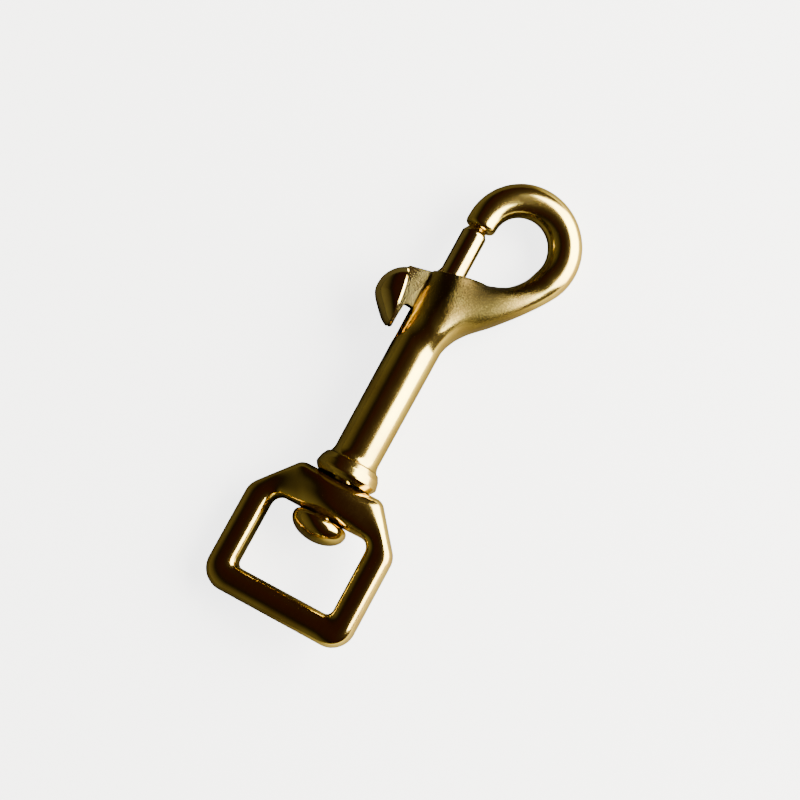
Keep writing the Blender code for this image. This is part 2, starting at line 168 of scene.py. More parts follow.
def turned(name, profile, around=ROUND_STEPS, axis_x=0.0):
    """A profile of (radius, y) rows turned about a line along Y: x = axis_x + r cos(t), z = r sin(t)."""
    radius, y = np.asarray(profile, float).T
    t = np.linspace(0.0, 2 * np.pi, around, endpoint=False)
    x = axis_x + radius[:, None] * np.cos(t)
    z = radius[:, None] * np.sin(t)
    return skin(name, np.stack([x, np.broadcast_to(y[:, None], x.shape), z], axis=-1))


print("a turned surface has", ROUND_STEPS, "sides unless it says otherwise")

# %% [markdown]
# ## Corners with a radius
#
# No edge on a casting or a turned piece is perfectly sharp, and a small radius is what catches the light. An
# outline or a profile is written as its few corners, each with the radius of its round, and this makes the arcs:
# the arc's middle lies on the corner's bisector, and it meets both sides where they touch its circle.

# %% Round the corners of an outline
def rounded(corners, steps=8, closed=True):
    """Corners (x, y, radius) as a line of points, each corner replaced by an arc of its radius."""
    corners = np.asarray(corners, float)
    line = []
    for i, (x, y, radius) in enumerate(corners):
        here = np.array([x, y])
        if radius == 0 or (not closed and i in (0, len(corners) - 1)):
            line.append(here[None])
            continue
        back = corners[i - 1, :2] - here
        ahead = corners[(i + 1) % len(corners), :2] - here
        back, ahead = back / np.linalg.norm(back), ahead / np.linalg.norm(ahead)
        half = math.acos(np.clip(back @ ahead, -1, 1)) / 2
        bisector = (back + ahead) / np.linalg.norm(back + ahead)
        middle = here + bisector * radius / math.sin(half)
        start, finish = (here + side * radius / math.tan(half) - middle for side in (back, ahead))
        sweep = math.atan2(start[0] * finish[1] - start[1] * finish[0], start @ finish)
        angles = math.atan2(start[1], start[0]) + sweep * np.linspace(0, 1, steps + 1)
        line.append(middle + radius * np.stack([np.cos(angles), np.sin(angles)], axis=1))
    return np.vstack(line)


corners = [(0, 0, 2), (10, 0, 2), (10, 10, 2), (0, 10, 2)]
print("a 10 mm square with 2 mm corners has", len(rounded(corners)), "points")


# %% Even spacing along a line
def dense(line, spacing):
    """A line of points, given more points so that none is further apart than the spacing."""
    gaps = np.linalg.norm(np.diff(line, axis=0), axis=1)
    along = np.concatenate([[0.0], np.cumsum(gaps)])
    counts = np.maximum(1, np.ceil(gaps / spacing)).astype(int)
    places = np.concatenate([a + g * np.arange(n) / n for a, g, n in zip(along, gaps, counts)] + [along[-1:]])
    return np.stack([np.interp(places, along, column) for column in line.T], axis=1)


print("10 mm at 4 mm spacing has", len(dense(np.array([(0.0, 0.0), (10.0, 0.0)]), 4.0)), "points")

# %% [markdown]
# ## Joining, cutting and finishing
#
# A Boolean modifier joins two closed skins or cuts one with the other, exactly along the line where they meet.
# The result is frozen into plain faces at once, and the helper object is removed. When a piece is ready, its
# points are placed in the frame, so that its object stays at the origin, unturned, as a CAD node's does.

# %% Boolean steps and freezing
def frozen(made):
    """Puts the modifiers' result into the object's own mesh."""
    bpy.context.view_layer.update()
    graph = bpy.context.evaluated_depsgraph_get()
    result = bpy.data.meshes.new_from_object(made.evaluated_get(graph))
    made.modifiers.clear()
    made.data = result
    return made


def boolean(target, tool, operation):
    """Joins the tool to the target or cuts it away, then removes the tool."""
    step = target.modifiers.new(operation, "BOOLEAN")
    step.operation = operation
    step.object = tool
    frozen(target)
    bpy.data.objects.remove(tool, do_unlink=True)
    print(operation.lower(), "leaves", len(target.data.polygons), "faces on", target.name)
    return target


# %% Reading and writing a mesh's points
def points_of(made):
    """The mesh's points as an array (n, 3)."""
    points = np.empty(len(made.data.vertices) * 3, np.float32)
    made.data.vertices.foreach_get("co", points)
    return points.reshape(-1, 3).astype(float)


def set_points(made, points):
    """Writes the points back, in the same order."""
    made.data.vertices.foreach_set("co", points.astype(np.float32).ravel())
    made.data.update()


def store_skin_and_shade(made, values, name="as_cast"):
    """Stores at each point how rough the casting was left and how much shade is painted into its colour, from 0,
    polished, to 1, straight from the mould and painted darkest.
    """
    attribute = made.data.attributes.new(name, "FLOAT", "POINT")
    attribute.data.foreach_set("value", np.clip(values, 0, 1).astype(np.float32))
    print(made.name, "is as cast on", round(100 * float((np.asarray(values) > 0.3).mean())), "% of its points")


# %% Placing a finished piece
def finished(made, roll, body, node, sharp=32.0):
    """Places a piece in the frame, shades it, says what it moves with, and hides the CAD node that it replaces."""
    set_points(made, placed(points_of(made), roll))
    made.data.shade_smooth()
    made.data.set_sharp_from_angle(angle=math.radians(sharp))
    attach(made, body)
    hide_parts(node)
    made.data.calc_loop_triangles()
    low, high = points_of(made).min(0), points_of(made).max(0)
    return made


# %% [markdown]
# ## The hook and its barrel: one casting
#
# The hook, its neck and the barrel are one brass casting, so the neck grows out of the barrel with a wide soft
# fillet. Two surfaces give the rough shape: the barrel is a turned grid, and the hook is a round bar carried
# along its middle line, whose radius changes on the way. A voxel remesh makes one skin of the two. Its points
# are then moved onto the exact surface, which is where a distance function is zero: that function is the smaller
# of the distances to the barrel and to the bar, with the corner between them rounded off, and that rounding is
# the fillet.

# %% The hook's middle line
ARM_TURN = math.radians(40.0)
ARM_ROOT_X = 2.2
NECK = [
    (0.0, -0.45, 3.6), (0.10, -0.75, 3.55), (0.18, -0.85, 3.6), (0.27, -0.85, 3.75), (0.36, -0.5, 4.15),
    (0.45, 0.0, 4.65), (0.54, 0.6, 5.3), (0.65, 1.3, 5.75), (0.78, 1.5, 5.75), (0.88, 0.9, 5.4), (1.0, 0.0, 4.6),
]
NOSE_SPARE = 3.0
RING_ROWS = 29
ROWS_A_SPAN = 12
NOSE_ROWS = 10
SLIM_FROM, SLIM_ROWS = 22, 8
RING_FULL, NECK_SLIM = 0.1, 0.35


def smooth_curve(points, per_span):
    """A cubic B-spline: each place is a blend of four neighbouring points, so even its bend has no jumps."""
    p = np.vstack([2 * points[0] - points[1], points, 2 * points[-1] - points[-2]])
    t = np.linspace(0.0, 1.0, per_span, endpoint=False)[None, :, None]
    a, b, c, d = (p[k:len(p) - 3 + k, None] for k in range(4))
    spans = ((1 - t) ** 3 * a + (3 * t ** 3 - 6 * t ** 2 + 4) * b
             + (3 * t + 3 * t ** 2 - 3 * t ** 3 + 1) * c + t ** 3 * d) / 6
    return spans.reshape(-1, points.shape[1])


def arm_line():
    """Rows (x, y, radius) down the hook: up the nose, round the ring, and along the neck into the barrel."""
    nose_x = RING_X - RING_R
    nose = [(nose_x, NOSE_END - NOSE_SPARE, NOSE_R), (nose_x, (NOSE_END + RING_Y) / 2, NOSE_R)]
    angles = np.linspace(math.pi, -ARM_TURN, RING_ROWS + 2)[:-2]
    row = np.arange(RING_ROWS)
    grown = np.minimum(1.0, row / NOSE_ROWS)
    slimmed = np.clip((row - SLIM_FROM) / SLIM_ROWS, 0, 1)
    radius = NOSE_R + (RING_T / 2 + RING_FULL - NOSE_R) * grown - NECK_SLIM * slimmed
    ring = np.stack([RING_X + RING_R * np.cos(angles), RING_Y + RING_R * np.sin(angles), radius], axis=1)
    x0, y0 = RING_X + RING_R * math.cos(ARM_TURN), RING_Y - RING_R * math.sin(ARM_TURN)
    run = (x0 - ARM_ROOT_X) / math.sin(ARM_TURN)
    part, shift, radius = np.array(NECK).T
    neck_x = x0 - run * part * math.sin(ARM_TURN) - shift * math.cos(ARM_TURN)
    neck_y = y0 - run * part * math.cos(ARM_TURN) + shift * math.sin(ARM_TURN)
    return smooth_curve(np.vstack([nose, ring, np.stack([neck_x, neck_y, radius], axis=1)]), ROWS_A_SPAN)


ARM = arm_line()
print("the hook's middle line has", len(ARM), "points")

# %% The barrel's outline and soft corners
FLARE_END = 5.4
FLARE_FOOT = 3.2
FLARE = 0.75


def barrel_radius(y):
    """The barrel swells evenly to its mouth, and flares at its foot with the square of the way down."""
    share = y / MOUTH_Y
    flare = np.clip((FLARE_END - y) / (FLARE_END - FLARE_FOOT), 0, 1)
    return BARREL_R + (MOUTH_R - BARREL_R) * share + FLARE * flare ** 2


def soft_min(a, b, size):
    """The smaller of two distances; where they differ by less than the size, the corner is filled smoothly."""
    share = np.clip(0.5 + 0.5 * (b - a) / size, 0, 1)
    return b + (a - b) * share - size * share * (1 - share)


def soft_max(a, b, size):
    """The larger of two distances, with the corner between them taken off smoothly."""
    return -soft_min(-a, -b, size)


print("the barrel's radius is", [round(float(barrel_radius(y)), 2) for y in (FLARE_FOOT, FLARE_END, MOUTH_Y)],
      "mm at the flare's foot, at its end and at the mouth")

# %% The distance to the hook's bar
NOSE_ROUND = 1.3


def arm_distance(points):
    """From each point to the nearest place on the hook's middle line, less the radius there.

    The nearest row is found first. A parabola through it and its neighbours gives the place between rows.
    Below the nose's end the bar is cut off square, with a rounded corner.
    """
    line = ARM[::2]
    flat = (points[:, None, 0] - line[:, 0]) ** 2 + (points[:, None, 1] - line[:, 1]) ** 2
    length = np.sqrt(flat + points[:, None, 2] ** 2) - line[:, 2]
    best = np.clip(length.argmin(axis=1), 1, len(line) - 2)
    rows = np.arange(len(points))
    before, at, after = (length[rows, best + k] for k in (-1, 0, 1))
    bend = np.maximum(before - 2 * at + after, 1e-9)
    shift = np.clip(0.5 * (before - after) / bend, -1, 1)
    x, y, radius = (np.interp((best + shift) * 2, np.arange(len(ARM)), column) for column in ARM.T)
    away = np.sqrt((points[:, 0] - x) ** 2 + (points[:, 1] - y) ** 2 + points[:, 2] ** 2) - radius
    on_nose = best < len(line) // 8
    cut = soft_max(away, NOSE_END - points[:, 1], NOSE_ROUND)
    return np.where(on_nose, cut, away)


middle = np.array([[RING_X + RING_R, RING_Y, 0.0]])
print("the ring's bar is", round(-float(arm_distance(middle)[0]), 2), "mm deep at its middle")

# %% The distance to the whole casting
MOUTH_ROUND = 0.5
NECK_FILLET = 2.6
FACE_FILLET = 3.2
FACE_LIMIT = 1.2


def barrel_distance(points):
    """Outside the turned side, or beyond the sloping mouth, or below the foot, whichever is the furthest."""
    side = np.hypot(points[:, 0], points[:, 2]) - barrel_radius(points[:, 1])
    mouth = (points[:, 1] - MOUTH_Y) * math.cos(MOUTH_SLOPE) - points[:, 0] * math.sin(MOUTH_SLOPE)
    return np.maximum(soft_max(side, mouth, MOUTH_ROUND), -points[:, 1])


def casting_distance(points):
    """The fillet is small along the outline and grows with the square of the height, so the faces run flat."""
    fillet = NECK_FILLET + FACE_FILLET * np.clip(np.abs(points[:, 2]) / BARREL_R, 0, FACE_LIMIT) ** 2
    return soft_min(barrel_distance(points), arm_distance(points), fillet)


fill = NECK_FILLET / 4, (NECK_FILLET + FACE_FILLET) / 4
print("where bar and barrel meet, the fillet fills", [round(depth, 2) for depth in fill], "mm")

# %% [markdown]
# ## One skin, then its exact surface
#
# The two skins could be joined by a Boolean and bevelled, but a bevel can't follow a fillet whose size changes.
# So the remesh only has to be near, and the distance function does the rest: it says how far each point is from
# the true surface and which way, and a few steps along its slope bring the point there.

# %% Carry a bar along its line, and move points onto a surface
VOXEL = 0.27
SETTLE_STEPS = 5
SLOPE_STEP = 0.01
LEAST_SLOPE = 0.1


def swept(name, line, around=64):
    """A round bar: at each row of the line a circle, centre + r (n cos(t) + z sin(t)), n square to the line."""
    way = np.gradient(line[:, :2], axis=0)
    way /= np.linalg.norm(way, axis=1)[:, None]
    t = np.linspace(0.0, 2 * np.pi, around, endpoint=False)
    out = line[:, 2, None] * np.cos(t)
    x = line[:, 0, None] - way[:, 1, None] * out
    y = line[:, 1, None] + way[:, 0, None] * out
    return skin(name, np.stack([x, y, line[:, 2, None] * np.sin(t)], axis=-1))


def settle(points, distance):
    """Moves points onto the surface: each step goes back along the slope by the distance over the slope."""
    for _ in range(SETTLE_STEPS):
        here = distance(points)
        slope = np.stack([distance(points + SLOPE_STEP * axis) - distance(points - SLOPE_STEP * axis)
                          for axis in np.eye(3)], axis=1)
        slope /= 2 * SLOPE_STEP
        points = points - slope * (here / np.maximum((slope ** 2).sum(axis=1), LEAST_SLOPE))[:, None]
    return points


print("the remesh has", VOXEL, "mm voxels, and points take", SETTLE_STEPS, "steps to the surface")


# %% The casting, before it is machined
def rough_casting():
    """The barrel and the hook as overlapping skins, made one by a voxel remesh."""
    top = MOUTH_Y - 0.5
    y = np.linspace(0.0, top, 80)
    body = turned("hook_body_piece", np.stack([barrel_radius(y), y], axis=1))
    arm = ARM[ARM[:, 1] > 0]
    arm = arm[np.argmax(arm[:, 1] > NOSE_END):]
    boolean(body, swept("arm", arm), "UNION")
    remesh = body.modifiers.new("one skin", "REMESH")
    remesh.mode = "VOXEL"
    remesh.voxel_size = VOXEL
    return frozen(body)


hook = rough_casting()
set_points(hook, settle(points_of(hook), casting_distance))
print("the casting has", len(hook.data.vertices), "points, the furthest",
      round(float(np.abs(casting_distance(points_of(hook))).max()), 4), "mm off its surface")

# %% [markdown]
# ## Machined features of the hook
#
# The collar at the foot was turned on a lathe, so it has crisp edges and a fine bright bevel at its widest
# plane. The bore was drilled for the bolt, the slot was milled for the thumb piece's web, and a shallow seat in
# the nose takes the bolt's tip. Such edges come from exact cuts and not from the remesh. The slot's cutter is
# wider outside than inside, which leaves a narrow chamfer along both lips.

# %% The sizes of the cuts
BOLT_TRAVEL = 7.0
SLOT_HALF = WEB_T / 2 + GAP
SLOT_END = WEB_Y - BOLT_TRAVEL - SLOT_HALF
BORE_R = BOLT_R + GAP
BORE_FLOOR = 8.0
CHAMFER = 0.25
FOOT_GAP = 0.1
print("the slot ends", round(SLOT_END, 2), "mm above the collar, for", BOLT_TRAVEL, "mm of travel")


# %% The turned collar
def collar():
    """The turned collar: a rounded ring with a bright bevel at its widest plane and a lower face that draws in."""
    profile = rounded([
        (STUD_R + GAP, 3.6, 0), (6.15, 3.6, 0), (6.75, 3.25, 0.25), (7.45, 1.9, 1.6), (COLLAR_R, 0.32, 0.12),
        (COLLAR_R, -0.08, 0.12), (COLLAR_R - 0.45, -0.75, 0.5), (COLLAR_R - 1.0, EYE_TOP + FOOT_GAP, 0.2),
        (STUD_R + GAP, EYE_TOP + FOOT_GAP, 0),
    ], closed=False)
    return turned("collar", profile, around=160)


boolean(hook, collar(), "UNION")


# %% The slot's cutter
def stadium(half, top, steps=24):
    """A slot's outline in (y, z): a half circle at its lower end and straight sides up to the top."""
    t = np.linspace(-np.pi, 0, steps)
    arc = np.stack([SLOT_END + SLOT_HALF + half * np.sin(t), half * np.cos(t)], axis=1)
    return np.vstack([arc, [[top, half], [top, -half]]])


def slot_tool():
    """The slot's cutter, lofted along X: even through the wall, and wider outside it for the chamfer."""
    outside = -MOUTH_R - 2.0
    lip = CHAMFER - math.sqrt(barrel_radius(SLOT_END) ** 2 - SLOT_HALF ** 2)
    stations = [(BOLT_X, SLOT_HALF), (lip, SLOT_HALF), (outside, SLOT_HALF + lip - outside)]
    rows = []
    for x, reach in stations:
        outline = stadium(reach, MOUTH_Y + 4.0)
        rows.append(np.column_stack([np.full(len(outline), x), outline]))
    return skin("slot_tool", np.stack(rows))


slot = slot_tool()
print("the slot's cutter has", len(slot.data.polygons), "faces")

# %% Cut the bore, the seat in the nose, the stud's hole and the slot
bore = turned("bore_tool", dense(np.array([(BORE_R, BORE_FLOOR), (BORE_R, NOSE_END - 1.5)]), 4.0), axis_x=BOLT_X)
seat_top = NOSE_END + 0.6
seat = turned("seat_tool", [(TIP_R + GAP, seat_top), (TIP_R + GAP, NOSE_END + 0.25), (TIP_R + 2 * GAP, NOSE_END),
                            (TIP_R + 2 * GAP + 1.0, NOSE_END - 1.0)], axis_x=BOLT_X)
stud_hole = turned("stud_tool", [(STUD_R + GAP, -COLLAR_FOOT - 1.0), (STUD_R + GAP, BORE_FLOOR + 1.0)])
for tool in (bore, seat, stud_hole, slot):
    boolean(hook, tool, "DIFFERENCE")

# %% [markdown]
# ## Where the hook kept its casting skin, and painted shade on its neck
#
# A polishing wheel can't get into the hollow of the neck, so the neck stays grainy and rough while the barrel
# shines, and its colour is darkened almost to black there as painted shade. The share is a bell over an oval
# along the neck, 1 at its middle and fading evenly to the polished parts; a weak band on the ring's inside is
# painted shade as well. It could be painted by hand, but a formula is easy to move and to size.

# %% Where the hook was left rougher and darkened as painted shade, and its place
NECK_MIDDLE = np.array([7.5, 52.5])
NECK_ALONG, NECK_ACROSS = np.array([0.74, 0.67]) / 9.0, np.array([-0.67, 0.74]) / 6.5
NECK_FADE = 0.9
INSIDE_SKIN_AND_SHADE, INSIDE_DEPTH, INSIDE_FROM = 0.1, 1.2, 60


def hook_skin_and_shade(points):
    """exp(-fade r^2) over the neck's oval, and a thin band of the same form on the ring's inside: rougher skin and
    painted shade.
    """
    x, y = points[:, 0], points[:, 1]
    from_middle = points[:, :2] - NECK_MIDDLE
    neck = np.exp(-NECK_FADE * ((from_middle @ NECK_ALONG) ** 2 + (from_middle @ NECK_ACROSS) ** 2))
    inside = np.exp(-((np.hypot(x - RING_X, y - RING_Y) - (RING_R - RING_T / 2)) / INSIDE_DEPTH) ** 2)
    return neck + INSIDE_SKIN_AND_SHADE * inside * (y > INSIDE_FROM)


store_skin_and_shade(hook, hook_skin_and_shade(points_of(hook)))
finished(hook, HOOK_ROLL, "hook", "hook_body")
hook.name = "hook_casting"

# %% [markdown]
# ## The bolt and its thumb piece: one small casting
#
# The bolt is a round rod with a tapered tip. A flat web leaves it through the barrel's slot and carries the
# thumb pad: a polished dome, cut off by a slightly hollow back face, with a bright bevel between the two. The
# rod and the pad are turned profiles, each about its own axis, and the web is an outline carried through its
# thickness with its edges drawn in.

# %% The rod
TIP_Y = NOSE_END + 0.3
TAIL_Y = WEB_Y - 6.0
SPIGOT_R, SPIGOT_LENGTH = 1.5, 3.0


def rod():
    """The bolt's rod from tip to spigot, with rounded shoulders."""
    profile = rounded([
        (0.0, TIP_Y, 0), (TIP_R, TIP_Y, 0.35), (TIP_R + 0.15, TIP_Y - 0.75, 0.3), (BOLT_R, TIP_Y - 2.1, 1.0),
        (BOLT_R, TAIL_Y, 0.4), (SPIGOT_R, TAIL_Y, 0.15), (SPIGOT_R, TAIL_Y - SPIGOT_LENGTH, 0.3),
        (0.0, TAIL_Y - SPIGOT_LENGTH, 0),
    ], closed=False)
    return turned("bolt_piece", dense(profile[1:-1], 1.5), around=96, axis_x=BOLT_X)


bolt = rod()
print("the rod goes from", round(TAIL_Y - SPIGOT_LENGTH, 1), "to", round(TIP_Y, 1), "mm above the collar")

# %% The thumb pad
PAD_X, PAD_Y = -7.9, 43.3
PAD_R = 7.5
PAD_HALF_WIDTH = 5.6
RIM_SHIFT = 1.75
RIM_TILT = math.radians(9.5)
RIM_BEVEL = 0.5
BACK_HOLLOW = 0.45
TIP_STRETCH = 0.09
TIP_DRAW_IN = 0.15


def pad():
    """The thumb pad: (depth, radius) rows turned about its own axis, flattened across, leaned and put in place.

    The dome is an arc of PAD_R from its pole to the rim. The bevel takes the rim's corner off, and the back face
    is hollow by the square of the way in. Towards its lower end the pad is drawn out to a blunter point.
    """
    last = math.acos((RIM_SHIFT + RIM_BEVEL) / PAD_R)
    angle = np.linspace(0.02, last, 40)
    dome = np.stack([-PAD_R * np.cos(angle), PAD_R * np.sin(angle)], axis=1)
    rim = dome[-1, 1] - 0.1
    share = np.linspace(1.0, 0.02, 16)
    back = np.stack([-RIM_SHIFT - BACK_HOLLOW * (1 - share ** 2), (rim - RIM_BEVEL * 0.4) * share], axis=1)
    profile = np.vstack([dome, back])
    t = np.linspace(0.0, 2 * np.pi, 128, endpoint=False)
    low = np.clip(-np.cos(t), 0, 1)
    share = profile[:, 1:] / PAD_R
    on_dome = (np.arange(len(profile)) < len(dome))[:, None]
    depth = profile[:, :1] * (1 - TIP_DRAW_IN * 4 * share ** 2 * (1 - share ** 2) * low * on_dome)
    up = profile[:, 1:] * np.cos(t) * (1 + TIP_STRETCH * share ** 2 * low)
    across = profile[:, 1:] * np.sin(t) * PAD_HALF_WIDTH / PAD_R
    x = PAD_X + depth * math.cos(RIM_TILT) - up * math.sin(RIM_TILT)
    y = PAD_Y + depth * math.sin(RIM_TILT) + up * math.cos(RIM_TILT)
    return skin("pad", np.stack([x, y, across], axis=-1))


thumb_pad = pad()
print("the pad has", len(thumb_pad.data.polygons), "faces")

# %% The web between rod and pad
WEB_TOP = 52.2
FILLET = 2.4
THUMB_GAP = 1.9
WEB_EDGE = [(-1.0, 0.25), (-0.8, 0.06), (-0.6, 0.0), (0.6, 0.0), (0.8, 0.06), (1.0, 0.25)]


def area_of(outline):
    """The signed area inside a closed outline: half the sum of x dy - y dx."""
    x, y = outline.T
    return 0.5 * (x * np.roll(y, -1) - y * np.roll(x, -1)).sum()


def web():
    """The web: its outline at heights through its thickness, drawn in towards both faces as a rounded edge."""
    rib_x = -barrel_radius(WEB_Y) - THUMB_GAP
    lean = math.tan(RIM_TILT)
    rim_x = PAD_X - RIM_SHIFT
    low_y = PAD_Y - PAD_R - 0.2
    outline = rounded([
        (BOLT_X, WEB_Y, 0), (BOLT_X, WEB_TOP + FILLET, 0), (BOLT_X - BOLT_R + 0.2, WEB_TOP + FILLET, 0),
        (BOLT_X - BOLT_R - 0.9, WEB_TOP, FILLET), (rim_x - 1.4, PAD_Y + PAD_R - 0.3, 0.6),
        (rim_x - 1.0, PAD_Y, 0),
        (rib_x - 0.5 - lean, low_y, 0.3), (rib_x, low_y, 0.3), (rib_x, WEB_Y, 0.9),
    ])
    way = np.roll(outline, -1, axis=0) - np.roll(outline, 1, axis=0)
    way /= np.linalg.norm(way, axis=1)[:, None]
    inward = np.stack([way[:, 1], -way[:, 0]], axis=1) * (-1 if area_of(outline) > 0 else 1)
    rows = []
    for z, inset in WEB_EDGE:
        rows.append(np.column_stack([outline + inward * inset, np.full(len(outline), z * WEB_T / 2)]))
    return skin("web", np.stack(rows))


boolean(bolt, web(), "UNION")
boolean(bolt, thumb_pad, "UNION")


# %% Where the bolt was left rough and darkened as painted shade, and its place
WEB_SKIN_AND_SHADE = 0.5


def bolt_skin_and_shade(points):
    """The web, between the pad's rim and the rod, kept some casting skin and has its colour darkened as painted
    shade; the pad and the rod were polished.
    """
    x, y = points[:, 0], points[:, 1]
    rim = PAD_X - RIM_SHIFT * math.cos(RIM_TILT) - (y - PAD_Y) * math.tan(RIM_TILT)
    on_web = (x > rim + 0.35) & (x < BOLT_X - BOLT_R + 0.2)
    return WEB_SKIN_AND_SHADE * on_web


store_skin_and_shade(bolt, bolt_skin_and_shade(points_of(bolt)))
finished(bolt, HOOK_ROLL, "bolt", "bolt", sharp=24.0)
bolt.name = "bolt_and_thumb_piece"

# %% [markdown]
# ## The square eye
#
# The eye is a casting too: two side bars and a crossbar of one rounded section round a window for the webbing,
# and a bridge whose middle swells round the stud. It is lofted round the window. Along each ray from the
# window's middle, the section fills the way from the window's outline to the outer one, and its depth swells
# over the bridge. The mould opened at the middle of the thickness, so both sides draw in a little from there,
# and a faint ridge is left at the parting line.

# %% How far an outline is along each ray
def reach(outline, centre, angles):
    """How far a closed outline is from the centre along each angle: rays against all its sides at once."""
    a = outline - centre
    b = np.roll(outline, -1, axis=0) - centre
    way = np.stack([np.cos(angles), np.sin(angles)], axis=1)[:, None]
    side_a = way[..., 0] * a[:, 1] - way[..., 1] * a[:, 0]
    side_b = way[..., 0] * b[:, 1] - way[..., 1] * b[:, 0]
    crosses = (side_a * side_b <= 0) & (side_a != side_b)
    share = np.where(crosses, side_a / np.where(crosses, side_a - side_b, 1.0), 0.0)
    hit = a + (b - a) * share[..., None]
    along = (hit * way).sum(axis=-1)
    return np.where(crosses & (along > 0), along, 0.0).max(axis=1)


square = np.array([(-1.0, -1.0), (1.0, -1.0), (1.0, 1.0), (-1.0, 1.0)])
reaches = reach(square, np.zeros(2), np.radians([10.0, 44.0]))
print("a 2 mm square reaches", reaches.round(2), "mm at 10 and 44 degrees")

# %% The eye's section and its loft
TOP_HALF = 10.6
SHOULDER_DROP = 10.5
BOSS_R = 5.7
BOSS_REACH = 14.5
EYE_STATIONS = 540
PARTING, PARTING_WIDTH = 0.02, 0.06
ROUNDNESS = 2.7


def eye_section(count=96):
    """The bars' section as (across, up) shares from -1 to 1: |across|^n + |up|^n = 1, and the parting ridge."""
    t = np.linspace(0, 2 * np.pi, count, endpoint=False)
    c, s = np.cos(t), np.sin(t)
    size = (np.abs(c) ** ROUNDNESS + np.abs(s) ** ROUNDNESS) ** (-1 / ROUNDNESS)
    across, up = c * size, s * size
    return across * (1 + PARTING * np.exp(-(up / PARTING_WIDTH) ** 2)), up


def eye_grid():
    """The eye's points: rows round the window, columns round the section."""
    side = WINDOW_W / 2 + BAR_W
    shoulder = EYE_TOP - SHOULDER_DROP
    outer = rounded([
        (-TOP_HALF, EYE_TOP, 3.0), (-side, shoulder, 5.0), (-side, EYE_BOTTOM, 5.6),
        (side, EYE_BOTTOM, 5.6), (side, shoulder, 5.0), (TOP_HALF, EYE_TOP, 3.0),
    ], steps=16)
    half = WINDOW_W / 2
    inner = rounded([(-half, WINDOW_TOP, 2.6), (-half, WINDOW_BOTTOM, 1.7), (half, WINDOW_BOTTOM, 1.7),
                     (half, WINDOW_TOP, 2.6)], steps=16)
    centre = np.array([0.0, (WINDOW_TOP + WINDOW_BOTTOM) / 2])
    angles = np.linspace(0, 2 * np.pi, EYE_STATIONS, endpoint=False)
    near, far = (reach(line, centre, angles) for line in (inner, outer))
    across, up = eye_section()
    along = near[:, None] + (far - near)[:, None] * (1 + across) / 2
    x = centre[0] + along * np.cos(angles)[:, None]
    y = centre[1] + along * np.sin(angles)[:, None]
    on_bridge = np.clip((y - WINDOW_TOP + 1.5) / 2.5, 0, 1)
    lift = on_bridge * on_bridge * (3 - 2 * on_bridge)
    swell = np.cos(np.pi / 2 * np.clip(np.abs(x) / BOSS_REACH, 0, 1)) ** 2 * lift
    return np.stack([x, y, up * (EYE_T / 2 + (BOSS_R - EYE_T / 2) * swell)], axis=-1)


eye = skin("swivel_eye_piece", eye_grid(), ring=True)
print("the eye has", len(eye.data.vertices), "points")

# %% Drill the eye and put it in place
hole_side = np.array([(STUD_R + GAP, WINDOW_TOP - 2.0), (STUD_R + GAP, EYE_TOP + 2.0)])
eye_hole = turned("eye_hole", dense(hole_side, 2.0))
boolean(eye, eye_hole, "DIFFERENCE")
store_skin_and_shade(eye, 0.01 + 0.03 * np.exp(-((points_of(eye)[:, 2] / 0.6) ** 2)))
finished(eye, EYE_ROLL, "eye", "swivel_eye")
eye.name = "eye_casting"

# %% [markdown]
# ## The stud that the eye turns on
#
# The stud is turned from bar: a shank through the bridge, pressed into the barrel's foot, and a domed head that
# holds the eye. It is one profile, turned about the barrel's axis.

# %% The stud
HEAD_R = 6.8
HEAD_H = 5.9
HEAD_ROUND = 1.6


def stud_profile():
    """The shank, the underside of the head, its rounded rim and its dome, as (radius, y) rows."""
    top = WINDOW_TOP - FOOT_GAP
    rim = np.linspace(0, math.pi / 2, 12)
    dome = np.linspace(0, math.pi / 2 - 0.01, 32)[1:]
    out, up = HEAD_ROUND * np.sin(rim), HEAD_ROUND * np.cos(rim)
    lip = np.stack([HEAD_R - HEAD_ROUND + out, top - HEAD_ROUND + up], axis=1)
    crown = np.stack([HEAD_R * np.cos(dome), top - HEAD_ROUND - (HEAD_H - HEAD_ROUND) * np.sin(dome)], axis=1)
    shank = rounded([(0, BORE_FLOOR, 0), (STUD_R, BORE_FLOOR, 0.3), (STUD_R, top, 0.2), (HEAD_R, top, 0)],
                    closed=False)
    return np.vstack([shank[1:-1], lip, crown])


stud = turned("swivel_stud_piece", stud_profile(), around=128)
store_skin_and_shade(stud, np.zeros(len(stud.data.vertices)))
finished(stud, HOOK_ROLL, "hook", "swivel_stud")
stud.name = "turned_stud"

# %% [markdown]
# ## The spring in the bore
#
# A coil of hard wire sits between the bore's floor and the bolt's tail. It can be glimpsed through the slot. Its
# middle line is a helix whose first and last turn are wound close, as on a real compression spring. It gets
# shorter as the bolt is drawn back, but here it is made once, at the bolt's rest, and moves with the hook.

# %% The spring
SPRING_R = 2.45
WIRE_R = 0.35
SPRING_TURNS = 11


